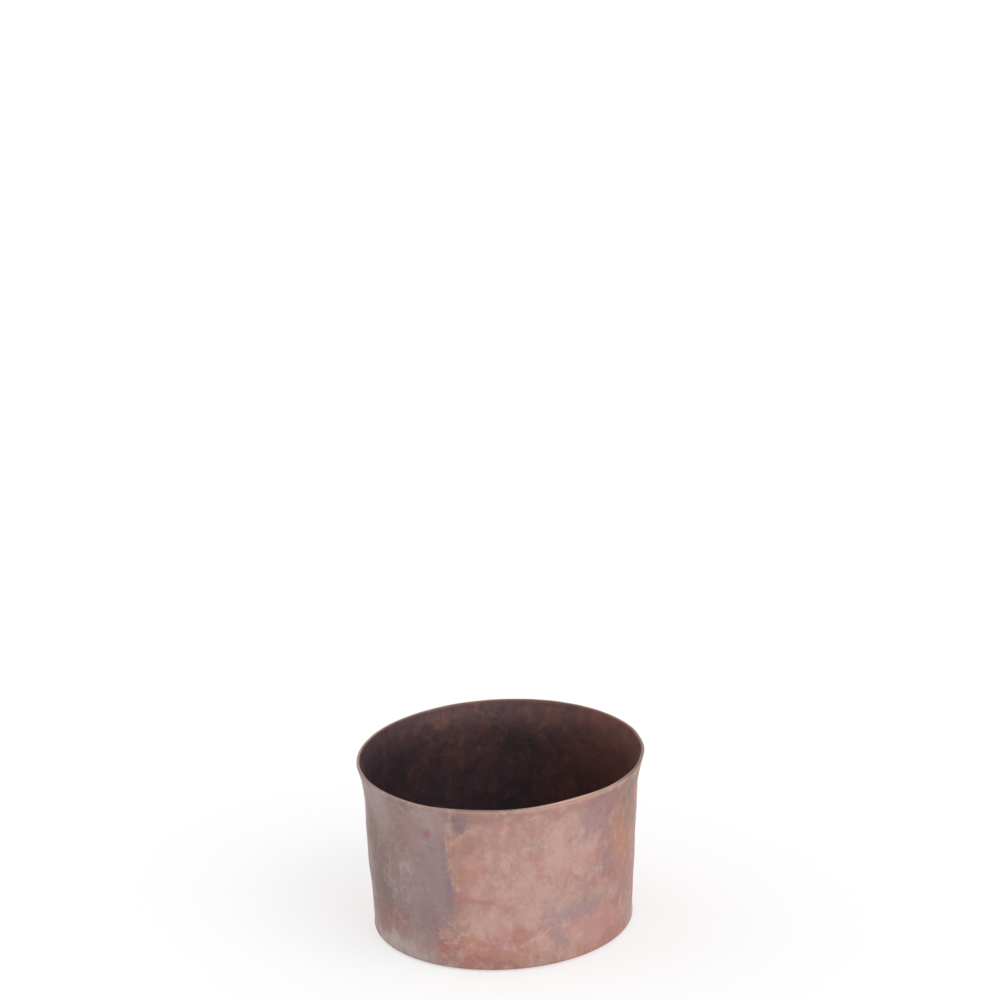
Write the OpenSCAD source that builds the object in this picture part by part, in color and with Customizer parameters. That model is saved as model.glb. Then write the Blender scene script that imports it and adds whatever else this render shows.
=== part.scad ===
// Round bottle coaster in aged copper: a tapered cup with a small flared lip.
// The wall is one sheet, rolled and closed by a brazed seam. Its lower edge is turned in,
// the base disc lies on that edge in a ring of solder, and felt lines the underside.
// All sizes are in millimetres. The cup stands on Z = 0 around the Z axis, with its front to -Y.

/* [Cup] */
// Height from the table to the top of the lip
height = 58.3; // [40:0.1:90]
// Outside diameter of the wall, carried down to the table
foot_d = 84.5; // [75:0.1:88]
// Outside diameter of the wall where the lip begins to flare
neck_d = 89.2; // [80:0.1:91]
// Outside diameter at the top of the lip
mouth_d = 93.2; // [91:0.1:125]
// Height of the flared lip
lip_h = 13.5; // [5:0.1:20]
// Thickness of the copper sheet
sheet_t = 1; // [0.5:0.1:2]

/* [Foot] */
// Inside radius of the bend at the foot
foot_bend = 0.3; // [0.2:0.1:3]
// Width of the turned-in edge under the base, from the outside of the wall
foot_turn_w = 4.5; // [3.5:0.1:12]

/* [Base] */
// Thickness of the base disc
base_t = 1; // [0.6:0.1:3]
// Thickness of the solder between the turned-in edge and the disc
solder_t = 0.2; // [0.1:0.05:0.6]
// Width of the solder between the disc's rim and the wall
solder_gap = 0.6; // [0.2:0.1:1.5]
// How far the solder climbs the wall above the floor
solder_climb = 0.7; // [0.1:0.1:2]

/* [Seam] */
// Width of the brazed seam
seam_w = 0.6; // [0.2:0.1:2]
// Degrees from the front to the seam, clockwise seen from above
seam_turn = 20.7; // [-180:0.1:180]

/* [Felt] */
// How far the felt stands below the copper
felt_proud = 0.3; // [0.1:0.1:2]
// Gap between the felt's rim and the turned-in edge
felt_gap = 0.5; // [0.2:0.1:3]

/* [Hidden] */
$fn = 180;
bend_steps = 8;
flare_steps = 14;
edge_steps = 8;

// Heights, from the table up
turn_z = felt_proud + sheet_t;
disc_z = turn_z + solder_t;
floor_z = disc_z + base_t;
neck_z = height - lip_h;

// The wall's lean, and its thickness measured level
lean = atan((neck_d - foot_d) / 2 / neck_z);
wall_w = sheet_t / cos(lean);
edge_r = wall_w / 2;
edge_z = height - edge_r;

// Radius of the lip's flare: the arc through the neck, along the cone, that ends at the mouth
flare_out = mouth_d / 2 - neck_d / 2;
flare_up = edge_z - neck_z;
flare_half_turn = atan(flare_out / flare_up) - lean;
flare_r = norm([flare_out, flare_up]) / (2 * sin(flare_half_turn));

// The bend at the foot turns about this point
foot_outer_bend = foot_bend + sheet_t;
bend_z = turn_z + foot_bend;
bend_r = straight_r(bend_z) - foot_outer_bend / cos(lean);

turn_open_r = foot_d / 2 - foot_turn_w;
base_r = inside_r(disc_z) - solder_gap;
felt_r = turn_open_r - felt_gap;
climb_z = floor_z + solder_climb;

// Outside radius of the plain cone, without the lip's flare
function straight_r(z) = foot_d / 2 + z * tan(lean);

// Outside radius of the wall: the cone, then an arc that starts along it and flares the lip
function outside_r(z) =
    z <= neck_z
        ? straight_r(z)
        : neck_d / 2 + flare_r * (cos(lean) - sqrt(1 - pow(sin(lean) + (z - neck_z) / flare_r, 2)));

// Inside radius of the wall, down into the bend at the foot
function inside_r(z) =
    z < bend_z ? bend_r + sqrt(max(0, pow(foot_bend, 2) - pow(bend_z - z, 2))) : outside_r(z) - wall_w;

// Points on an arc about a centre, from one angle to another
function arc(centre, r, from, to, steps) =
    [for (i = [0:steps]) let (a = from + (to - from) * i / steps) centre + r * [cos(a), sin(a)]];

function reversed(points) = [for (i = [len(points) - 1:-1:0]) points[i]];

lip_heights = [for (i = [0:flare_steps]) neck_z + (edge_z - neck_z) * i / flare_steps];

// The sheet's two sides, each from the foot up, and the round edge that joins them
outer_side = concat(
    arc([bend_r, bend_z], foot_outer_bend, -90, -lean, bend_steps),
    [for (z = lip_heights) [outside_r(z), z]]
);
inner_side = concat(
    arc([bend_r, bend_z], foot_bend, -90, -lean, bend_steps),
    [for (z = lip_heights) [inside_r(z), z]]
);
top_edge = arc([outside_r(edge_z) - edge_r, edge_z], edge_r, 180 / edge_steps, 180 - 180 / edge_steps, edge_steps - 2);

module wall_section() {
    polygon(concat(
        [[turn_open_r, felt_proud]], outer_side, top_edge, reversed(inner_side), [[turn_open_r, turn_z]]
    ));
}

// Everything inside the wall, from the turned-in edge to the lip
module hollow_section() {
    polygon(concat([[0, turn_z]], inner_side, [[0, edge_z]]));
}

// A thin upright plate through the wall at the seam
module seam_plate() {
    rotate([0, 0, -90 - seam_turn])
        translate([0, -seam_w / 2, 0])
            cube([mouth_d, seam_w, height]);
}

module wall() {
    color([0.66, 0.51, 0.46])
        difference() {
            rotate_extrude() wall_section();
            seam_plate();
        }
}

module seam_braze() {
    color([0.55, 0.45, 0.36])
        intersection() {
            rotate_extrude() wall_section();
            seam_plate();
        }
}

module base_disc() {
    color([0.42, 0.28, 0.23])
        translate([0, 0, disc_z])
            cylinder(r = base_r, h = base_t);
}

// Solder fills the corner between the disc, the turned-in edge and the wall
module base_solder() {
    color([0.45, 0.43, 0.40])
        rotate_extrude()
            intersection() {
                hollow_section();
                polygon([
                    [turn_open_r, turn_z],
                    [mouth_d, turn_z],
                    [mouth_d, climb_z],
                    [inside_r(climb_z), climb_z],
                    [base_r, floor_z],
                    [base_r, disc_z],
                    [turn_open_r, disc_z]
                ]);
            }
}

module felt_pad() {
    color([0.16, 0.13, 0.11])
        cylinder(r = felt_r, h = disc_z);
}

wall();
seam_braze();
base_disc();
base_solder();
felt_pad();
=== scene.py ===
import math

import bpy
from mathutils import Matrix, Vector, noise


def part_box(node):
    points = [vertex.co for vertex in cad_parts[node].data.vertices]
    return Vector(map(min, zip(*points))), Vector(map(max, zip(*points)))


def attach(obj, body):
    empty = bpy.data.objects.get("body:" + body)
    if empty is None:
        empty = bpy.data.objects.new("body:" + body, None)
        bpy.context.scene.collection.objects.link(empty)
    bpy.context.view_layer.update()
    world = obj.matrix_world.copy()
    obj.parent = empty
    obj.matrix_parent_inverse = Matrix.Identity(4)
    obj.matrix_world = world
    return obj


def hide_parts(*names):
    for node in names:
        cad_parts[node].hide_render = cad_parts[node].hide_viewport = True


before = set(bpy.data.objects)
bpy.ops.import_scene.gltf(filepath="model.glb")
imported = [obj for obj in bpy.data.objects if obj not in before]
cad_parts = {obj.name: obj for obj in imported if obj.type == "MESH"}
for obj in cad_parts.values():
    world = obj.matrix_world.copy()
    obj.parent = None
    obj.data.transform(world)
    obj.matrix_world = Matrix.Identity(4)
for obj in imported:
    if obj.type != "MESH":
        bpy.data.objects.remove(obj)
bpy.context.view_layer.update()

MM = 0.001

# Sizes of the cup, as it is built
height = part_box("wall")[1].z
foot_r = 42.25 * MM
neck_r = 44.6 * MM
mouth_r = 46.6 * MM
lip_h = 13.5 * MM
sheet_t = 1.0 * MM
foot_bend = 1.3 * MM
turn_open_r = foot_r - 4.5 * MM
seam_w = 0.6 * MM
seam_turn = math.radians(-20.7)
half_seam = seam_w / 2 / neck_r
copper_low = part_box("wall")[0].z
base_low, base_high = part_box("base_disc")
felt_low, felt_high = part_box("felt_pad")
base_r = base_high.x
felt_r = felt_high.x
solder_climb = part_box("base_solder")[1].z - base_high.z

# What the maker's hand did to the ideal shape
dent_size = 9 * MM
ripple_size = 4 * MM
mouth_shift = 1.35 * MM
mouth_tilt = 0.2 * MM
dent_depth = 0.16 * MM
ripple_depth = 0.05 * MM
lip_wave = 0.12 * MM
wave_scale = 2.2
lip_roll = 0.45 * MM
roll_from = 0.84
lip_rise = 0.4 * MM
waist_pinch = 0.4 * MM
foot_pinch = 0.4 * MM
foot_spread = 0.3 * MM

neck_z = height - lip_h
lean = math.atan((neck_r - foot_r) / neck_z)
flare_out = mouth_r - neck_r
flare_up = lip_h - sheet_t / 2
flare_r = math.hypot(flare_out, flare_up) / (2 * math.sin(math.atan(flare_out / flare_up) - lean))
lip_lean = math.asin(math.sin(lean) + flare_up / flare_r)

# How fine the turned meshes are: steps round the axis, and the gap between rows of points
wall_columns = 440
seam_columns = 3
base_columns = 160
solder_columns = 300
felt_columns = 260
wall_row = 0.95 * MM
edge_row = 0.9 * MM
base_row = 1.2 * MM
under_row = 2.4 * MM
solder_row = 0.4 * MM
felt_row = 0.8 * MM
felt_side_row = 0.3 * MM

# Points closer than this are one point
weld = 0.01 * MM


def cup_r(z):
    """Outside radius of the wall: a cone, then an arc that flares the lip."""
    if z <= neck_z:
        return foot_r + z * math.tan(lean)
    slope = math.sin(lean) + (z - neck_z) / flare_r
    return neck_r + flare_r * (math.cos(lean) - math.sqrt(1 - slope * slope))


def spaced(start, end, step):
    """Numbers from start to end, both included, about a step apart."""
    count = max(1, round(abs(end - start) / step))
    return [start + (end - start) * i / count for i in range(count + 1)]


def ease(u):
    u = min(max(u, 0.0), 1.0)
    return u * u * (3 - 2 * u)


# Shader values and nodes

class Value:
    """A shader socket that adds, subtracts and multiplies like a number."""

    def __init__(self, look, socket):
        self.look = look
        self.socket = socket

    def maths(self, operation, *others):
        return self.look.maths(operation, self, *others)

    def __add__(self, other):
        return self.maths("ADD", other)

    __radd__ = __add__

    def __mul__(self, other):
        return self.maths("MULTIPLY", other)

    __rmul__ = __mul__

    def __sub__(self, other):
        return self.maths("SUBTRACT", other)

    def __rsub__(self, other):
        return self.look.maths("SUBTRACT", other, self)


def plug(tree, socket, value):
    """Links a socket to a value's own socket, or sets it to a constant."""
    if isinstance(value, Value):
        value = value.socket
    if isinstance(value, bpy.types.NodeSocket):
        tree.links.new(value, socket)
    else:
        socket.default_value = value


def add_node(tree, kind, settings=None, sockets=None):
    """Adds a node, sets it up, then sets or links its sockets."""
    made = tree.nodes.new(kind)
    for name, setting in (settings or {}).items():
        setattr(made, name, setting)
    for name, value in (sockets or {}).items():
        plug(tree, made.inputs[name], value)
    return made


class Look:
    """A material under construction, with one principled shader."""

    def __init__(self, name):
        self.material = bpy.data.materials.new(name)
        self.material.use_nodes = True
        self.tree = self.material.node_tree
        self.tree.nodes.clear()
        self.shader = self.node("ShaderNodeBsdfPrincipled")
        surface = {"Surface": self.shader.outputs["BSDF"]}
        self.output = self.node("ShaderNodeOutputMaterial", None, surface)
        self.place = self.node("ShaderNodeTexCoord").outputs["Object"]

    def node(self, kind, settings=None, sockets=None):
        return add_node(self.tree, kind, settings, sockets)

    def maths(self, operation, *values):
        made = self.node("ShaderNodeMath", {"operation": operation}, dict(enumerate(values)))
        return Value(self, made.outputs["Value"])

    def vector(self, operation, *values):
        return self.node("ShaderNodeVectorMath", {"operation": operation}, dict(enumerate(values)))

    def step(self, value, start, end):
        """0 before start, 1 after end, and a smooth S between."""
        made = self.node(
            "ShaderNodeMapRange",
            {"interpolation_type": "SMOOTHSTEP"},
            {"Value": value, "From Min": start, "From Max": end},
        )
        return Value(self, made.outputs["Result"])

    def mix(self, mask, first, second):
        """The first colour where the mask is 0, the second where it is 1."""
        made = self.node("ShaderNodeMix", {"data_type": "RGBA"}, {0: mask, 6: first, 7: second})
        return made.outputs[2]

    def scaled(self, x, y, z):
        """Object coordinates stretched along each axis."""
        made = self.node("ShaderNodeMapping", None, {"Vector": self.place, "Scale": (x, y, z)})
        return made.outputs["Vector"]

    def noise(self, scale, detail=3.0, roughness=0.5, distortion=0.0, place=None, seed=0.0):
        """Noise from 0 to 1, about 0.5. The scale is in bumps per metre."""
        made = self.node(
            "ShaderNodeTexNoise",
            {"noise_dimensions": "4D"},
            {
                "Vector": place or self.place,
                "W": seed,
                "Scale": scale,
                "Detail": detail,
                "Roughness": roughness,
                "Distortion": distortion,
            },
        )
        return Value(self, made.outputs["Fac"])

    def lines(self, lean, across, along, seed):
        """Noise drawn out into straight lines, turned from upright by degrees about X, Y and Z."""
        made = self.node(
            "ShaderNodeMapping",
            {"vector_type": "TEXTURE"},
            {
                "Vector": self.place,
                "Rotation": [math.radians(angle) for angle in lean],
                "Scale": (1 / across, 1 / across, 1 / along),
            },
        )
        return self.noise(1, 1, 0.3, place=made.outputs["Vector"], seed=seed)

    def axis(self, name):
        made = self.node("ShaderNodeSeparateXYZ", None, {"Vector": self.place})
        return Value(self, made.outputs[name])

    def turn(self):
        """Degrees round the cup from its front, positive towards +X."""
        return self.maths("ARCTAN2", self.axis("X"), -1 * self.axis("Y")) * math.degrees(1)

    def drift(self, scale, push, detail, seed):
        """Coordinates pushed about by noise, so that what is drawn on them has ragged edges."""
        made = self.node(
            "ShaderNodeTexNoise",
            {"noise_dimensions": "4D"},
            {
                "Vector": self.scaled(*scale),
                "W": seed,
                "Scale": 1.0,
                "Detail": detail,
                "Roughness": 0.62,
            },
        )
        centred = self.vector("SUBTRACT", made.outputs["Color"], (0.5, 0.5, 0.5)).outputs["Vector"]
        pushed = self.vector("MULTIPLY", centred, push).outputs["Vector"]
        return self.vector("ADD", self.place, pushed).outputs["Vector"]

    def spot(self, place, ragged, turn, z, wide, tall, strength):
        """A mask for a soft spot on the wall. Its place and its half sizes are those in tarnish."""
        away = math.radians(turn)
        r = cup_r(z * MM)
        across, along = 1 / (wide * MM), 1 / (tall * MM)
        middle = (-across * r * math.sin(away), across * r * math.cos(away), -along * z * MM)
        shrunk = self.vector("MULTIPLY_ADD", place, (across, across, along), middle)
        distance = Value(self, self.vector("LENGTH", shrunk.outputs["Vector"]).outputs["Value"])
        made = self.node(
            "ShaderNodeMapRange",
            {"interpolation_type": "SMOOTHSTEP"},
            {
                "Value": distance + ragged,
                "From Min": 0.5,
                "From Max": 1.5,
                "To Min": strength,
                "To Max": 0.0,
            },
        )
        return made.outputs["Result"]

    def dress(self, settings):
        """Sets or links sockets of the principled shader."""
        for name, value in settings.items():
            plug(self.tree, self.shader.inputs[name], value)

    def finish(self, colour, roughness, metallic, relief, depth):
        """Plugs in what was mixed, with the relief as a bump of that depth."""
        bump = self.node("ShaderNodeBump", None, {"Height": relief, "Distance": depth})
        self.dress({
            "Base Color": colour,
            "Roughness": roughness,
            "Metallic": metallic,
            "Normal": bump.outputs["Normal"],
        })
        return self.material


def paint(red, green, blue):
    """A colour given as it looks on screen, from 0 to 255."""
    def linear(level):
        level = level / 255
        return level / 12.92 if level <= 0.04045 else ((level + 0.055) / 1.055) ** 2.4
    return (linear(red), linear(green), linear(blue), 1)


# Finishes

rosy = paint(182, 145, 135)
pale_rose = paint(200, 166, 156)
dusty_rose = paint(174, 137, 130)
russet = paint(179, 122, 107)
brick = paint(172, 114, 104)
orange_brown = paint(188, 134, 110)
mauve = paint(166, 132, 133)
slate = paint(155, 135, 137)
pale_slate = paint(174, 154, 151)
lilac = paint(166, 142, 148)
chalky = paint(184, 168, 162)
dark_slate = paint(122, 113, 116)
grey_green = paint(131, 109, 102)
pale_green = paint(170, 154, 149)
umber = paint(146, 118, 112)
# Worn copper, also used for the painted highlight on the lip
worn_and_highlit_copper = paint(208, 172, 150)
salmon = paint(194, 142, 134)
sallow = paint(182, 152, 138)
tan = paint(164, 131, 119)
bronze = paint(154, 121, 105)
warm_brown = paint(178, 132, 116)
plum = paint(146, 123, 131)
wine = paint(166, 110, 118)
cream = paint(210, 180, 168)
# Painted shade at the front of the foot
foot_shade_rose = paint(164, 116, 107)
# Painted shade along the top of the lip
lip_shade_brown = paint(134, 108, 101)
braze_brown = paint(156, 132, 112)

# Colours inside the cup
deep = paint(94, 75, 79)
brown = paint(118, 85, 82)
ruddy = paint(144, 98, 88)
# Dark tone of the copper, also the painted shade deep in the cup
soot_and_shade = paint(70, 67, 77)
scratch_brown = paint(150, 104, 92)
speck_black = paint(50, 44, 46)
drop_brown = paint(134, 104, 94)
# Painted light on the right of the inside wall
lit_warm_copper = paint(138, 84, 72)
rubbed_brown = paint(140, 96, 80)
ring_bright = paint(152, 108, 90)
ring_brown = paint(150, 106, 88)
ring_dark = paint(54, 38, 40)
ring_sooty = paint(58, 42, 42)
ring_smoky = paint(60, 42, 42)

# Colours of the solder and the felt
solder_grey = paint(120, 112, 104)
solder_dull = paint(92, 78, 68)
solder_dark = paint(70, 54, 46)
felt_dark = paint(44, 34, 30)
felt_brown = paint(72, 58, 50)
felt_matted = paint(92, 78, 68)
felt_bare = paint(58, 46, 42)

# Depth of the bump that both faces of the wall share
relief_depth = 0.06 * MM

# Half the softness, in degrees, of the edge between the warm and the cool coat
edge_soft = 0.5

# Patches this close to the seam and above this height in mm keep their shape and place
keep_turn = 12
keep_z = 20

# Patches within these degrees of the seam are on the brazing metal too
braze_reach = 18

# Height of the line that a spill left, and the turn in degrees about which it is mirrored
tide_z = 11.6 * MM
tide_turn = -4

# Patches of tarnish on the wall: turn in degrees, height, half width and half height in mm,
# colour, strength. Later ones lie over earlier ones.
# One of them, low at the front of the foot, is painted shade rather than tarnish.
tarnish = [
    (-70, 39, 7, 10, grey_green, 0.85),
    (-63, 30, 5, 8, grey_green, 0.7),
    (-67, 19, 9, 11, grey_green, 0.9),
    (-58, 45, 4, 5, umber, 0.35),
    (-58, 52, 9, 7, pale_green, 0.5),
    (-49, 49, 3.4, 9, umber, 0.5),
    (-50, 31, 3, 6, umber, 0.5),
    (-52, 2.4, 16, 3.4, chalky, 0.85),
    (-43, 5, 5, 3.6, chalky, 0.35),
    (-60, 11, 9, 3.6, brick, 0.35),
    (-43.5, 32, 1.7, 5, pale_green, 0.8),
    (-44, 44, 3, 6, umber, 0.55),
    (-54, 37, 3.6, 3, umber, 0.5),
    (-40, 47, 3, 6, dusty_rose, 0.4),
    (-33, 18, 4, 5, umber, 0.4),
    (-39, 9, 4, 4, pale_green, 0.5),
    (-33, 6, 5, 3, dusty_rose, 0.35),
    (-26, 3, 4, 2.6, dusty_rose, 0.8),
    (-48, 17, 3, 3, umber, 0.5),
    (-37, 24, 3.4, 4, slate, 0.6),
    (-19.5, 19, 1.8, 6, mauve, 0.7),
    (-10, 55, 4, 3, umber, 0.3),
    (-14.5, 43, 4.4, 6, warm_brown, 0.65),
    (-13.5, 43, 2, 1.6, brick, 0.35),
    (-12, 37, 5, 1.4, salmon, 0.5),
    (-15, 33, 3.6, 4, warm_brown, 0.3),
    (-18, 20, 2.4, 7, tan, 0.7),
    (-29, 51, 6, 6.5, pale_slate, 0.8),
    (-27, 35, 3.4, 15, slate, 0.8),
    (-24.4, 40, 1.3, 7, plum, 0.5),
    (-22.3, 27, 1.6, 8, plum, 0.7),
    (-21.6, 43, 1, 6, warm_brown, 0.5),
    (-17, 41, 3, 8, tan, 0.3),
    (-31.5, 48, 1.8, 2.2, wine, 0.85),
    (-25, 52, 2.4, 3, lilac, 0.4),
    (-16, 53, 2.8, 4.2, dark_slate, 0.8),
    (-15, 55.5, 5, 2.4, dark_slate, 0.3),
    (-2, 56, 12, 1.4, umber, 0.35),
    (-50, 57.4, 14, 1.5, grey_green, 0.6),
    (-70, 57.4, 8, 1.5, grey_green, 0.5),
    (-36, 48, 3, 3, grey_green, 0.3),
    (-25, 49, 2.4, 4, dusty_rose, 0.35),
    (-57, 7, 4, 3, brick, 0.25),
    (-9, 25, 4, 0.9, brick, 0.5),
    (-17, 25, 2.6, 3, mauve, 0.5),
    (-12, 19.5, 2.6, 2.4, tan, 0.45),
    (-12, 23.4, 3, 1.8, pale_rose, 0.35),
    (-18, 23.6, 2, 2.4, mauve, 0.35),
    (-12, 39, 3, 2.4, pale_rose, 0.35),
    (18, 29, 3, 3, pale_rose, 0.4),
    (38, 52, 4, 2.4, pale_rose, 0.3),
    (-6, 24, 3, 2.4, dusty_rose, 0.4),
    (-7, 16, 8, 4, pale_rose, 0.55),
    (-2, 38.5, 2.6, 2, orange_brown, 0.35),
    (1, 29, 2.6, 4, pale_rose, 0.6),
    (-16, 25.5, 5, 1.5, russet, 0.5),
    (12, 20, 4, 5, pale_rose, 0.5),
    (17, 27, 3.6, 5, pale_rose, 0.4),
    (-4, 55, 9, 4, dusty_rose, 0.6),
    (-12, 46, 2.6, 4, dusty_rose, 0.5),
    (-6, 47, 4, 4, dusty_rose, 0.3),
    (9, 31, 3, 5, pale_rose, 0.6),
    (24, 44, 4, 12, pale_rose, 0.9),
    (38, 39, 3, 4, pale_rose, 0.6),
    (33, 50, 5, 5, pale_rose, 0.5),
    (33, 36, 6, 5, pale_rose, 0.5),
    (-23.5, 10, 4.4, 3.4, brick, 0.7),
    (-17, 11, 2.6, 2.4, lilac, 0.3),
    (-20, 12, 3.6, 0.9, pale_rose, 0.7),
    (-12, 10, 3, 2.6, orange_brown, 0.8),
    (-4, 14, 4, 2.6, salmon, 0.5),
    (-17.5, 15.5, 3, 2.2, tan, 0.6),
    (-6, 16, 3, 2.4, pale_rose, 0.3),
    (25, 15, 3, 2.6, pale_rose, 0.35),
    (18, 7, 3, 2.6, pale_rose, 0.6),
    (-50, 6.5, 4, 2.4, pale_green, 0.3),
    (-6, 11, 3, 2.4, brick, 0.35),
    (5, 12, 6, 3.4, salmon, 0.35),
    (-11, 29, 3, 3, pale_rose, 0.3),
    (-3, 10, 3, 3, mauve, 0.5),
    (10.5, 12, 4, 3.4, brick, 0.4),
    (15.5, 7, 4, 2.6, pale_rose, 0.7),
    (-2, 6, 14, 3, russet, 0.5),
    # Painted shade at the front of the foot
    (-6, 2.4, 14, 2, foot_shade_rose, 0.7),
    (25, 19, 6, 4.4, lilac, 0.5),
    (38, 14, 3, 2, mauve, 0.5),
    (28, 24, 5, 2.4, pale_rose, 0.5),
    (37, 18, 5, 3.6, lilac, 0.6),
    (38, 24, 6, 3, mauve, 0.25),
    (24, 8, 2.2, 4, slate, 0.25),
    (23, 11, 3, 3.4, lilac, 0.4),
    (33, 9, 4, 3, pale_rose, 0.4),
    (42, 49, 6, 6, mauve, 0.6),
    (40, 45, 2, 2.6, lilac, 0.6),
    (51, 33, 4, 7, mauve, 0.8),
    (51, 43, 3.4, 3, dusty_rose, 0.9),
    (43, 38, 3, 3.4, pale_rose, 0.7),
    (47, 37, 1.2, 1.2, dark_slate, 0.35),
    (53, 38, 1.2, 1.2, dark_slate, 0.35),
    (58, 47, 3, 7, orange_brown, 0.25),
    (60, 54, 9, 5.5, bronze, 0.8),
    (71, 52, 6, 8, grey_green, 0.6),
    (32, 54.4, 12, 1.6, tan, 0.35),
    (46, 56, 6, 2, tan, 0.5),
    (50, 56.4, 5, 1.8, bronze, 0.35),
    (67, 49, 4, 4, orange_brown, 0.25),
    (66, 24, 4, 3, brick, 0.4),
    (68, 37, 4, 12, bronze, 0.4),
    (78, 36, 4, 9, mauve, 0.8),
    (60, 41, 9, 9, brick, 0.3),
    (50, 42, 4, 4, mauve, 0.35),
    (41, 34, 4, 3, salmon, 0.4),
    (67, 46, 6, 4, umber, 0.3),
    (48, 53, 6, 5, mauve, 0.6),
    (63, 36, 7, 6, orange_brown, 0.8),
    (67, 41, 5, 5, tan, 0.8),
    (57, 26, 10, 3, brick, 0.4),
    (57, 30, 4, 2.4, dusty_rose, 0.6),
    (54, 10, 6, 5, brick, 0.3),
    (60, 18, 7, 4, mauve, 0.3),
    (44, 8, 4, 3, pale_rose, 0.35),
    (58, 3, 13, 2, brick, 0.5),
    (50, 10, 9, 6, salmon, 0.5),
    (73, 22, 4, 7, mauve, 0.6),
    (68, 14, 5, 7, mauve, 0.4),
    (66, 28.5, 4, 2.6, orange_brown, 0.5),
    (63, 19, 5, 7, brick, 0.35),
    (84, 50, 7, 6, orange_brown, 0.5),
    (88, 12, 9, 6, brick, 0.5),
    (97, 38, 6, 10, mauve, 0.7),
    (104, 52, 6, 4, slate, 0.5),
    (112, 22, 7, 6, pale_rose, 0.6),
    (118, 8, 12, 4, russet, 0.7),
    (124, 40, 6, 9, russet, 0.5),
    (136, 30, 5, 12, slate, 0.7),
    (139, 52, 8, 4, pale_rose, 0.6),
    (146, 9, 6, 4, slate, 0.5),
    (155, 38, 4, 7, umber, 0.5),
    (160, 20, 8, 5, orange_brown, 0.55),
    (170, 46, 6, 8, mauve, 0.5),
    (176, 5, 14, 3, brick, 0.6),
    (-172, 27, 6, 9, pale_rose, 0.7),
    (-163, 50, 5, 5, russet, 0.5),
    (-158, 14, 5, 5, umber, 0.5),
    (-150, 34, 5, 9, mauve, 0.7),
    (-143, 20, 4, 7, slate, 0.6),
    (-138, 50, 7, 5, grey_green, 0.5),
    (-131, 8, 11, 4, orange_brown, 0.7),
    (-126, 36, 5, 9, dusty_rose, 0.6),
    (-117, 48, 5, 7, grey_green, 0.7),
    (-112, 22, 6, 7, umber, 0.5),
    (-104, 11, 8, 4, russet, 0.5),
    (-98, 36, 6, 9, slate, 0.6),
    (-88, 50, 7, 6, pale_slate, 0.6),
    (-84, 20, 6, 8, umber, 0.5),
]


def wall_marks(look):
    """Fine marks that both faces of the wall share: pits, scratches and wiping streaks."""
    grain = look.noise(900, 4, 0.6, seed=1)
    pits = look.step(look.noise(520, 2, 0.5, seed=2), 0.66, 0.76)
    upright = look.noise(1, 5, 0.65, 0.4, look.scaled(300, 300, 210), 3)
    level = look.noise(1, 3, 0.6, place=look.scaled(60, 60, 1100), seed=4)
    scratches = look.step(look.noise(1, 2, 0.4, 0.4, look.scaled(240, 240, 2600), 5), 0.66, 0.72)
    return grain, pits, upright, level, scratches


def handling(look):
    """Marks of use: straight scratches that lean every way, and dark specks."""
    bare = look.step(look.noise(70, 3, 0.6, seed=50), 0.4, 0.6)
    scored = 0.0
    for lean, across, along, seed in (
        ((0, 28, 0), 1500, 40, 51),
        ((-36, -14, 0), 1300, 34, 52),
        ((24, -47, 0), 1700, 46, 53),
        ((8, 76, 20), 1500, 60, 54),
    ):
        lines = look.lines(lean, across, along, seed)
        scored = look.maths("MAXIMUM", look.step(lines, 0.68, 0.76), scored)
    specks = look.step(look.noise(1300, 1, 0.4, seed=55), 0.7, 0.76)
    return scored * bare, specks


def warm_coat(look, upright, cloud, broad, flecks):
    """The rosy, mottled copper that covers most of the outside."""
    colour = look.mix(look.step(upright, 0.36, 0.64), rosy, pale_rose)
    colour = look.mix(look.step(cloud, 0.44, 0.62) * 0.45, colour, dusty_rose)
    colour = look.mix(look.step(broad, 0.5, 0.7) * 0.35, colour, orange_brown)
    colour = look.mix(look.step(flecks, 0.54, 0.7) * 0.35, colour, mauve)
    rusty = look.noise(150, 4, 0.6, 0.5, seed=9)
    colour = look.mix(look.step(rusty, 0.54, 0.66) * 0.3, colour, orange_brown)
    blush = look.noise(150, 3, 0.55, 0.8, seed=15)
    colour = look.mix(look.step(blush, 0.5, 0.64) * 0.6, colour, salmon)
    return look.mix(look.step(blush, 0.5, 0.36) * 0.6, colour, sallow)


def cool_coat(look, upright, cloud, flecks):
    """The grey-mauve tarnish left of the seam."""
    colour = look.mix(look.step(cloud, 0.36, 0.68) * 0.8, slate, mauve)
    colour = look.mix(look.step(upright, 0.46, 0.66) * 0.6, colour, umber)
    colour = look.mix(look.step(flecks, 0.5, 0.7) * 0.45, colour, pale_green)
    pinkish = look.noise(120, 4, 0.6, 0.5, seed=10)
    return look.mix(look.step(pinkish, 0.56, 0.68) * 0.3, colour, dusty_rose)


def tide_line(look, turn, z, flecks):
    """A mask for the wandering, broken line that a spill dried to, either side of the front."""
    wander = (look.noise(90, 3, 0.6, seed=16) - 0.5) * 16 * MM
    gap = look.maths("ABSOLUTE", z - tide_z + wander)
    aside = look.maths("ABSOLUTE", turn - tide_turn)
    line = (1 - look.step(gap, 0.15 * MM, 0.55 * MM)) * look.step(flecks, 0.42, 0.52)
    return line * look.step(aside, 9, 12) * look.step(aside, 27, 23)


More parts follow.
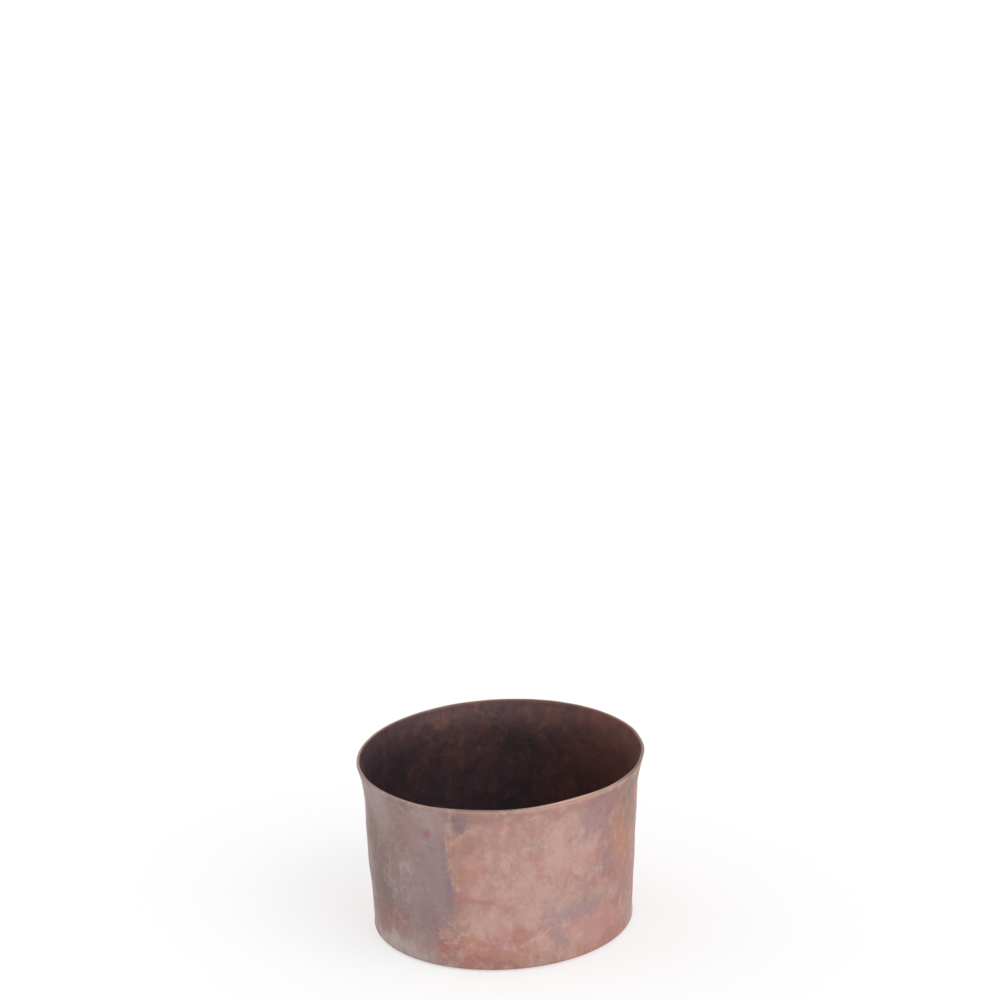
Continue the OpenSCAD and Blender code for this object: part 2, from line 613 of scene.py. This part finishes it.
def tarnished(name, braze):
    """The outside of the sheet: copper tarnished in patches, its lip rubbed bright with a painted
    highlight on the front right, and painted shade along the lip's top and round the foot.
    """
    look = Look(name)
    grain, pits, upright, level, scratches = wall_marks(look)
    broad = look.noise(75, 4, 0.6, 0.6, seed=6)
    cloud = look.noise(230, 5, 0.62, 0.8, seed=7)
    flecks = look.noise(1, 4, 0.6, 0.5, look.scaled(520, 520, 420), 8)
    ragged = (flecks - 0.5) * 2.2 + (upright - 0.5) * 1.8
    washed = look.drift((150, 150, 90), (15 * MM, 15 * MM, 20 * MM), 5, 11)
    turn = look.turn()
    z = look.axis("Z")

    warm = warm_coat(look, upright, cloud, broad, flecks)
    cool = cool_coat(look, upright, cloud, flecks)
    ragged_low = (1 - look.step(z, 12 * MM, 26 * MM)) * (cloud - 0.44) * 50
    short_of_seam = look.step(z, 26 * MM, 40 * MM) * look.step(z, 54 * MM, 51 * MM) * 2.4
    edge_turn = turn + (ragged_low + short_of_seam)
    seam_degrees = math.degrees(seam_turn)
    past_seam = look.step(edge_turn, seam_degrees + edge_soft, seam_degrees - edge_soft)
    far_side = look.step(turn + (broad - 0.5) * 60, -115, -75)
    colour = look.mix(past_seam * far_side, warm, cool)
    for side, up, wide, tall, shade, strength in tarnish:
        from_seam = abs(side - seam_degrees)
        keeps_shape = from_seam < keep_turn and up > keep_z
        if not braze or from_seam < braze_reach:
            place = look.place if keeps_shape else washed
            mask = look.spot(place, ragged, side, up, wide, tall, strength)
            colour = look.mix(mask, colour, shade)

    colour = look.mix(tide_line(look, turn, z, flecks) * 0.45, colour, cream)
    colour = look.mix(look.step(level, 0.5, 0.75) * 0.12, colour, pale_rose)
    colour = look.mix(look.step(grain, 0.52, 0.72) * 0.18, colour, umber)
    colour = look.mix(pits * 0.25, colour, dark_slate)
    # Painted shade: the bottom 1.6 mm of the wall darkened towards brick, all round the foot.
    foot_shade = 1 - look.step(z + (cloud - 0.5) * 3 * MM, copper_low, copper_low + 1.6 * MM)
    colour = look.mix(foot_shade * 0.45, colour, brick)
    # The lip is rubbed lighter all round, which is wear. It is lighter still on the front right,
    # where the key light falls, which is a painted highlight.
    rubbed = look.step(z + (cloud - 0.5) * 1.2 * MM, height - 1.8 * MM, height - 1.0 * MM)
    light_side_turn = turn + (broad - 0.5) * 30
    key_light_side = look.step(light_side_turn, 2, 24) * look.step(light_side_turn, 66, 46)
    colour = look.mix(rubbed * (0.12 + key_light_side * 0.38), colour, worn_and_highlit_copper)
    # Painted shade: a darker line along the top of the lip, weakest on the key-lit front right.
    lip_shade_line = look.step(z + (flecks - 0.5) * 0.6 * MM, height - 0.7 * MM, height - 0.1 * MM)
    colour = look.mix(lip_shade_line * (0.9 - key_light_side * 0.6), colour, lip_shade_brown)
    colour = look.mix(scratches * 0.12, colour, worn_and_highlit_copper)
    scored, specks = handling(look)
    colour = look.mix(scored * 0.28, colour, worn_and_highlit_copper)
    colour = look.mix(specks * 0.35, colour, dark_slate)
    if braze:
        colour = look.mix(look.step(cloud, 0.4, 0.64) * 0.3 + 0.15, colour, braze_brown)

    roughness = 0.4 + cloud * 0.2 + grain * 0.06 - rubbed * 0.1 - scored * 0.08
    metallic = 0.86 - look.step(broad, 0.4, 0.7) * 0.16
    relief = grain * 0.35 + cloud * 0.7 + level * 0.25 - pits * 0.5 - scratches * 0.2 - scored * 0.3
    return look.finish(colour, roughness, metallic, relief, relief_depth)


def dark_copper(name, ring_marks):
    """Inside of the cup: dark copper with painted shade towards the bottom; on the wall, painted
    light on the right, painted shade on the left and a rubbed lip; on the base, rings where bottles
    stand.
    """
    look = Look(name)
    grain, pits, upright, level, scratches = wall_marks(look)
    broad = look.noise(90, 4, 0.6, 0.6, seed=12)
    cloud = look.noise(260, 4, 0.6, 0.8, seed=13)
    z = look.axis("Z")
    colour = look.mix(look.step(broad, 0.36, 0.66), deep, brown)
    colour = look.mix(look.step(cloud, 0.48, 0.66) * 0.55, colour, ruddy)
    colour = look.mix(look.step(upright, 0.46, 0.64) * 0.45, colour, soot_and_shade)
    blotches = look.noise(150, 5, 0.65, 1.2, seed=14)
    colour = look.mix(look.step(blotches, 0.52, 0.62) * 0.4, colour, deep)
    colour = look.mix(look.step(grain, 0.5, 0.74) * 0.25, colour, soot_and_shade)
    colour = look.mix(scratches * 0.25, colour, ruddy)
    # Painted shade: darker towards the bottom of the cup.
    colour = look.mix((1 - look.step(z, 0, height)) * 0.6, colour, soot_and_shade)
    scored, specks = handling(look)
    colour = look.mix(scored * 0.45, colour, scratch_brown)
    colour = look.mix(specks * 0.5, colour, speck_black)
    cells = look.node(
        "ShaderNodeTexVoronoi",
        {"feature": "F1"},
        {"Vector": look.drift((300, 300, 300), (2 * MM, 2 * MM, 2 * MM), 3, 56), "Scale": 130.0},
    )
    drop_edge = look.maths("ABSOLUTE", Value(look, cells.outputs["Distance"]) - 0.32)
    splashed = look.step(look.noise(60, 2, 0.5, seed=57), 0.5, 0.6)
    dried = (1 - look.step(drop_edge, 0.02, 0.07)) * splashed
    colour = look.mix(dried * 0.2, colour, drop_brown)
    roughness = 0.46 + cloud * 0.16 + grain * 0.06
    relief = grain * 0.35 + cloud * 0.6 + level * 0.25 - pits * 0.5 - scratches * 0.25
    if ring_marks:
        for x, y, radius, width, shade, strength in ring_marks:
            centre = (x * MM, y * MM, base_high.z)
            offset = look.vector("SUBTRACT", look.place, centre).outputs["Vector"]
            distance = Value(look, look.vector("LENGTH", offset).outputs["Value"])
            gap = look.maths("ABSOLUTE", distance + (cloud - 0.5) * 1.2 * MM - radius * MM)
            ring = 1 - look.step(gap + (grain - 0.5) * 1.2 * MM, width * 0.2 * MM, width * MM)
            ring = ring * look.step(broad + (cloud - 0.5) * 0.5, 0.36, 0.6)
            colour = look.mix(ring * strength, colour, shade)
            roughness = roughness - ring * 0.12
            relief = relief - ring * 0.4
    else:
        # Painted light: warmer and lighter on the right, where the key light falls; painted shade
        # on the left, away from it.
        x = look.axis("X") + (broad - 0.5) * 30 * MM
        key_lit_side = look.step(x, 6 * MM, 36 * MM)
        colour = look.mix(key_lit_side * (cloud * 0.9 - 0.08), colour, lit_warm_copper)
        colour = look.mix(look.step(x, -26 * MM, -42 * MM) * 0.45, colour, soot_and_shade)
        rubbed = look.step(z + (cloud - 0.5) * 1.6 * MM, height - 1.4 * MM, height - 0.3 * MM)
        colour = look.mix(rubbed * 0.5, colour, rubbed_brown)
    return look.finish(colour, roughness, 0.86, relief, relief_depth)


def dull_solder():
    look = Look("dull_solder")
    grain = look.noise(1000, 4, 0.6, seed=31)
    cloud = look.noise(300, 3, 0.6, 0.8, seed=32)
    colour = look.mix(look.step(cloud, 0.35, 0.65), solder_grey, solder_dull)
    colour = look.mix(look.step(grain, 0.52, 0.7) * 0.5, colour, solder_dark)
    return look.finish(colour, 0.45 + grain * 0.2, 0.8, grain + cloud, 0.08 * MM)


def wool_felt():
    look = Look("wool_felt")
    fibres = look.noise(1, 4, 0.7, 2.5, look.scaled(1500, 1500, 1500), 41)
    matted = look.noise(420, 4, 0.65, 1.2, seed=42)
    bare = look.noise(60, 3, 0.5, seed=43)
    colour = look.mix(look.step(fibres, 0.36, 0.66), felt_dark, felt_brown)
    colour = look.mix(look.step(matted, 0.5, 0.7) * 0.5, colour, felt_matted)
    colour = look.mix(look.step(bare, 0.56, 0.72) * 0.4, colour, felt_bare)
    look.dress({"Sheen Weight": 0.4, "Sheen Roughness": 0.5, "Specular IOR Level": 0.2})
    return look.finish(colour, 0.96, 0.0, fibres + matted * 0.6, 0.3 * MM)


# Shapes

def lathe(name, outline, start, sweep, columns):
    """Extrudes a line of points (r, z) and spins it round the cup's axis, from one turn on.

    With no window, spin turns the other way, so its angle is negative.
    """
    def at(point):
        return Vector((point[0] * math.sin(start), -point[0] * math.cos(start), point[1]))

    bpy.ops.object.select_all(action="DESELECT")
    bpy.ops.mesh.primitive_plane_add(size=sheet_t)
    piece = bpy.context.object
    piece.name = name
    piece.data.name = name
    bpy.ops.object.mode_set(mode="EDIT")
    bpy.ops.mesh.select_all(action="SELECT")
    bpy.ops.mesh.merge(type="CENTER")
    bpy.ops.transform.translate(value=at(outline[0]))
    for here, there in zip(outline, outline[1:]):
        bpy.ops.mesh.extrude_region_move(TRANSFORM_OT_translate={"value": at(there) - at(here)})
    bpy.ops.mesh.select_all(action="SELECT")
    bpy.ops.mesh.spin(steps=columns, angle=-sweep, center=(0, 0, 0), axis=(0, 0, 1))
    bpy.ops.mesh.select_all(action="SELECT")
    bpy.ops.mesh.remove_doubles(threshold=weld)
    bpy.ops.mesh.normals_make_consistent(inside=False)
    bpy.ops.object.mode_set(mode="OBJECT")
    if sum(face.area * face.normal.dot(face.center) for face in piece.data.polygons) < 0:
        bpy.ops.object.mode_set(mode="EDIT")
        bpy.ops.mesh.flip_normals()
        bpy.ops.object.mode_set(mode="OBJECT")
    return piece


def cup_outline():
    """The outside of the sheet: turned-in edge, bend, cone and flared lip."""
    bend_z = copper_low + foot_bend
    bend_r = cup_r(bend_z) - foot_bend / math.cos(lean)
    line = [(r, copper_low) for r in spaced(turn_open_r, bend_r, edge_row)[:-1]]
    for turned in spaced(-math.pi / 2, -lean, math.pi / 14):
        line.append((bend_r + foot_bend * math.cos(turned), bend_z + foot_bend * math.sin(turned)))
    lip_z = height - sheet_t * math.sin(lip_lean)
    line += [(cup_r(z), z) for z in spaced(bend_z + sheet_t / 2, lip_z, wall_row)]
    return line


def beside(out, turn, width):
    """1 at a turn round the cup, falling to 0 a width away, both in degrees."""
    away = math.radians(turn)
    middle = Vector((math.sin(away), -math.cos(away), 0))
    return ease(1 - math.degrees(out.angle(middle)) / width)


def hand_worked(co):
    """Where the hammer and the roll left a point of the ideal cup."""
    up = co.z / height
    out = Vector((co.x, co.y, 0)).normalized()
    free = ease((co.z - 3 * MM) / (9 * MM))
    dent = noise.noise(co * (1 / dent_size)) * dent_depth
    dent += noise.noise(co * (1 / ripple_size)) * ripple_depth
    wave = noise.noise(out * wave_scale) * lip_wave * up ** 3
    rolled = lip_roll * (1 + out.x) / 2 * ease((up - roll_from) / (1 - roll_from))
    pinched = waist_pinch * (1 - out.x) / 2 * ease((up - 0.55) / 0.25) * ease((1 - up) / 0.1)
    low_down = ease(co.z / (3 * MM)) * ease((26 * MM - co.z) / (12 * MM))
    narrowed = foot_pinch * beside(out, -90, 80) * low_down
    spread = foot_spread * beside(out, 85, 60) * ease((5 * MM - co.z) / (4 * MM))
    rise = lip_rise * (beside(out, 28, 26) - 0.6 * beside(out, -34, 20)) * up ** 4
    lift = (mouth_tilt * out.x + wave) * up + rise
    outwards = dent * free + rolled - pinched - narrowed + spread
    return co + out * outwards + Vector((mouth_shift * up, 0, lift))


def move_points(piece, rule):
    for vertex in piece.data.vertices:
        vertex.co = rule(vertex.co)


def pick(piece):
    """Selects the piece alone and makes it active."""
    bpy.ops.object.select_all(action="DESELECT")
    piece.select_set(True)
    bpy.context.view_layer.objects.active = piece


def apply_modifier(piece, kind, settings):
    pick(piece)
    modifier = piece.modifiers.new(kind.title(), kind)
    for name, setting in settings.items():
        setattr(modifier, name, setting)
    bpy.ops.object.modifier_apply(modifier=modifier.name)


def thicken(piece, inside_slot):
    """Gives the single skin its thickness, inwards, and rounds its edge at the top."""
    apply_modifier(piece, "SOLIDIFY", {
        "thickness": sheet_t,
        "offset": -1,
        "use_even_offset": True,
        "material_offset": inside_slot,
    })
    points = piece.data.vertices
    near_top = height - lip_wave - mouth_tilt - sheet_t / 2
    marks = piece.data.attributes.new("bevel_weight_edge", "FLOAT", "EDGE")
    for edge, mark in zip(piece.data.edges, marks.data):
        a, b = (points[i].co for i in edge.vertices)
        level = abs(a.z - b.z) < 0.2 * (a - b).length
        mark.value = 1.0 if level and min(a.z, b.z) > near_top else 0.0
    apply_modifier(piece, "BEVEL", {
        "width": sheet_t * 0.42,
        "segments": 3,
        "limit_method": "WEIGHT",
    })


def smooth(piece, angle=40):
    pick(piece)
    bpy.ops.object.shade_smooth_by_angle(angle=math.radians(angle))


def wear(piece, *finishes):
    """Gives a piece its materials, in the order of their slots."""
    for finish in finishes:
        piece.data.materials.append(finish)


def make_sheet(name, start, sweep, columns, outside, inside):
    """A stretch of the hand-worked wall, with one finish outside and one inside."""
    sheet = lathe(name, cup_outline(), start, sweep, columns)
    move_points(sheet, hand_worked)
    wear(sheet, outside, inside)
    thicken(sheet, 1)
    smooth(sheet)
    return sheet


def make_wall(outside, inside):
    """The sheet, from one side of the seam round to the other."""
    start = seam_turn + half_seam
    return make_sheet("wall_sheet", start, math.tau - 2 * half_seam, wall_columns, outside, inside)


def make_seam(outside, inside):
    """The brazing metal that fills the gap between the sheet's ends."""
    start = seam_turn - half_seam
    return make_sheet("seam_braze_line", start, 2 * half_seam, seam_columns, outside, inside)


def make_base(finish):
    """The base disc, a little dished by years of bottles."""
    low, high = base_low.z, base_high.z
    soft_edge = 0.15 * MM
    flat_r = 0.8 * base_r
    dish = 0.12 * MM
    unevenness = 0.05 * MM
    line = [(r, high) for r in spaced(0, base_r - soft_edge, base_row)]
    line += [(base_r, high - soft_edge), (base_r, low)]
    line += [(r, low) for r in spaced(base_r, 0, under_row)[1:]]
    base = lathe("base_plate", line, 0, math.tau, base_columns)

    def dished(co):
        r = math.hypot(co.x, co.y)
        dip = dish * (1 - ease(r / base_r)) + unevenness * noise.noise(co * (1 / (12 * MM)))
        return co - Vector((0, 0, dip * (1 - ease((r - flat_r) / (base_r - flat_r)))))

    move_points(base, dished)
    wear(base, finish)
    smooth(base)
    return base


def make_solder(finish):
    """The solder ring, with a hollow, slightly lumpy fillet up the wall."""
    turn_z = copper_low + sheet_t
    disc_z, floor_z = base_low.z, base_high.z
    climb_z = floor_z + solder_climb
    wall_r = cup_r(climb_z) - sheet_t
    lump_height, lump_size = 0.16 * MM, 3 * MM
    line = [(turn_open_r, turn_z), (cup_r(turn_z) - sheet_t, turn_z)]
    line += [(cup_r(z) - sheet_t, z) for z in spaced(disc_z, climb_z, solder_row)]
    for share in (0.75, 0.5, 0.25, 0):
        line.append((base_r + (wall_r - base_r) * share, floor_z + solder_climb * share ** 2))
    line += [(base_r, disc_z), (turn_open_r, disc_z), (turn_open_r, turn_z)]
    ring = lathe("solder_ring", line, 0, math.tau, solder_columns)

    def lumpy(co):
        if co.z < floor_z + weld:
            return co
        return co + Vector((0, 0, lump_height * noise.noise(co * (1 / lump_size))))

    move_points(ring, lumpy)
    wear(ring, finish)
    smooth(ring, 50)
    return ring


def make_felt(finish):
    """The felt pad, pressed flat on the table, with a soft cut edge."""
    low, high = felt_low.z, felt_high.z
    round_r = 0.35 * MM
    fuzz_length, fuzz_size = 0.12 * MM, 0.9 * MM
    lift_height, lift_size = 0.05 * MM, 1.6 * MM
    line = [(0, high), (felt_r * 0.5, high), (felt_r, high)]
    line += [(felt_r, z) for z in spaced(high, low + round_r, felt_side_row)[1:]]
    for turned in spaced(0, math.pi / 2, math.pi / 8)[1:]:
        in_from_rim = round_r * (1 - math.cos(turned))
        up_from_table = round_r * (1 - math.sin(turned))
        line.append((felt_r - in_from_rim, low + up_from_table))
    line += [(r, low) for r in spaced(felt_r - round_r, 0, felt_row)[1:]]
    felt = lathe("felt_disc", line, 0, math.tau, felt_columns)

    def matted(co):
        out = Vector((co.x, co.y, 0)).normalized()
        fuzz = noise.noise(co * (1 / fuzz_size)) * fuzz_length
        near_rim = ease((math.hypot(co.x, co.y) - felt_r + MM) / MM)
        lift = 0.0
        if co.z < low + round_r:
            lift = lift_height * abs(noise.noise(co * (1 / lift_size)))
        return co + out * fuzz * near_rim + Vector((0, 0, lift))

    move_points(felt, matted)
    wear(felt, finish)
    smooth(felt, 60)
    return felt


# Floor marks: centre x and y, radius and half width in mm, colour, strength
bottle_rings = [
    (-2.2, 1.0, 33.0, 1.3, ring_bright, 0.5),
    (2.6, -1.8, 32.2, 0.9, rubbed_brown, 0.45),
    (-0.4, -3.0, 33.6, 0.6, ring_brown, 0.35),
    (0.6, 3.4, 34.0, 0.8, ring_dark, 0.6),
    (-3.5, -2.4, 31.5, 0.5, ring_sooty, 0.5),
    (3.2, 1.6, 33.0, 0.4, ring_smoky, 0.45),
]

dark_inside = dark_copper("dark_copper", None)
pieces = [
    (make_wall(tarnished("aged_copper", False), dark_inside), "wall", "aged_copper"),
    (make_seam(tarnished("tarnished_braze", True), dark_inside), "seam_braze", "braze"),
    (make_base(dark_copper("ringed_copper", bottle_rings)), "base_disc", "dark_copper"),
    (make_solder(dull_solder()), "base_solder", "solder"),
    (make_felt(wool_felt()), "felt_pad", "felt"),
]
for piece, node, slot in pieces:
    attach(piece, "root")
    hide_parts(node)


# Floor, world, lamps and camera

floor_size = 6
floor_white = 1.1
shadow_share = 0.5
room_level = 0.78


def seen_rays(tree):
    """1 for rays that see the background directly, in a reflection or through glass, else 0."""
    path = add_node(tree, "ShaderNodeLightPath")
    seen = path.outputs["Is Camera Ray"]
    for name in ("Is Glossy Ray", "Is Transmission Ray"):
        rays = {0: seen, 1: path.outputs[name]}
        seen = add_node(tree, "ShaderNodeMath", {"operation": "MAXIMUM"}, rays).outputs["Value"]
    return seen


def make_floor():
    """A pale floor that shows white, with a faint shadow of the coaster."""
    bpy.ops.object.select_all(action="DESELECT")
    bpy.ops.mesh.primitive_plane_add(size=floor_size)
    floor = bpy.context.object
    floor.name = "floor"
    look = Look("pale_floor")
    look.dress({"Base Color": (0.9, 0.9, 0.9, 1), "Roughness": 1.0, "Specular IOR Level": 0.0})
    white = look.node("ShaderNodeEmission", None, {"Strength": floor_white}).outputs["Emission"]
    faint = Value(look, seen_rays(look.tree)) * (1 - shadow_share)
    lit = look.shader.outputs["BSDF"]
    both = look.node("ShaderNodeMixShader", None, {"Fac": faint, 1: lit, 2: white})
    plug(look.tree, look.output.inputs["Surface"], both.outputs["Shader"])
    wear(floor, look.material)


def make_world():
    """White where it is seen, and a little dimmer as a light."""
    world = bpy.data.worlds.new("white_room")
    bpy.context.scene.world = world
    world.use_nodes = True
    tree = world.node_tree
    tree.nodes.clear()
    level = {"Value": seen_rays(tree), "To Min": room_level, "To Max": 1.0}
    strength = add_node(tree, "ShaderNodeMapRange", None, level).outputs["Result"]
    light = {"Color": (1, 1, 1, 1), "Strength": strength}
    background = add_node(tree, "ShaderNodeBackground", None, light).outputs["Background"]
    add_node(tree, "ShaderNodeOutputWorld", None, {"Surface": background})


def soft_lamp(name, turn, lift, spread, strength):
    """Even light over the whole floor, from a turn and a lift above it, in degrees."""
    away, up = math.radians(turn), math.radians(lift)
    source = Vector((math.sin(away) * math.cos(up), -math.cos(away) * math.cos(up), math.sin(up)))
    lamp = bpy.data.lights.new(name, "SUN")
    lamp.angle = math.radians(spread)
    lamp.energy = strength
    holder = bpy.data.objects.new(name, lamp)
    holder.location = source
    holder.rotation_euler = source.to_track_quat("Z", "Y").to_euler()
    bpy.context.scene.collection.objects.link(holder)


def make_camera():
    """The photograph's viewpoint: 1.8 m away, 25 degrees above the table, tilted a little."""
    back, up = 1.617, 0.7413
    yaw, pitch, roll = math.radians(0.181), math.radians(20.218), math.radians(-2.533)
    level_ahead = Vector((math.sin(yaw), math.cos(yaw), 0))
    level_right = Vector((math.cos(yaw), -math.sin(yaw), 0))
    forward = level_ahead * math.cos(pitch) - Vector((0, 0, math.sin(pitch)))
    right = Matrix.Rotation(-roll, 3, forward) @ level_right
    facing = Matrix((right, right.cross(forward), -forward)).transposed()
    lens = bpy.data.cameras.new("camera")
    lens.lens = 194.45
    lens.sensor_width = 36.0
    lens.clip_start = 0.01
    camera = bpy.data.objects.new("camera", lens)
    camera.matrix_world = Matrix.Translation((0, -back, up)) @ facing.to_4x4()
    bpy.context.scene.collection.objects.link(camera)
    bpy.context.scene.camera = camera


make_floor()
make_world()
soft_lamp("key", 50, 42, 50, 0.9)
soft_lamp("fill", -110, 40, 60, 0.3)
make_camera()
bpy.context.scene.view_settings.view_transform = "Standard"
